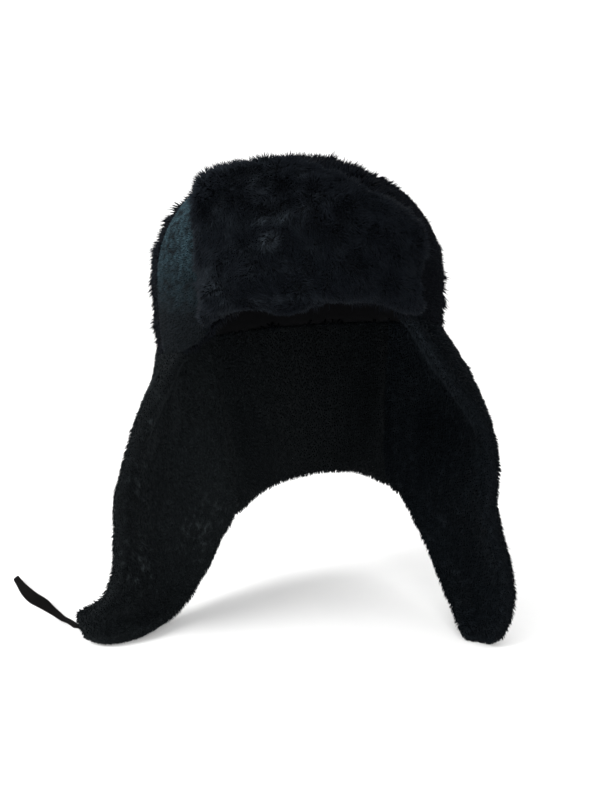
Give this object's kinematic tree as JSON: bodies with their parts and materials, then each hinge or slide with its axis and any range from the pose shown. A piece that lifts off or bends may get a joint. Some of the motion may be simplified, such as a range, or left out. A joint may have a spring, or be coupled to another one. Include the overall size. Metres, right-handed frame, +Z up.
{
  "type": "ushanka",
  "caption": "Padded fur hat with a domed crown, a turned-up visor, side panels, hanging ear flaps, a neck flap and a tape tie.",
  "frame": {"origin": "the head's seat: the top of the hollow, on the inside of the crown", "axes": "+Z up as the hat is worn, -Y towards the front, +X to the right of someone who looks at the front"},
  "size_m": [0.388, 0.2368, 0.3358],
  "materials": {
    "black_fur": "short dense pile, black",
    "sheared_fur": "sheared pile, dark grey with a blue-green cast",
    "tape": "woven tape, dull black"
  },
  "bodies": {
    "root": {"crown": "black_fur", "visor": "black_fur", "side_panel_left": "sheared_fur", "side_panel_right": "sheared_fur", "ear_flap_left": "black_fur", "ear_flap_right": "black_fur", "neck_flap": "black_fur", "tie": "tape"}
  },
  "joints": []
}
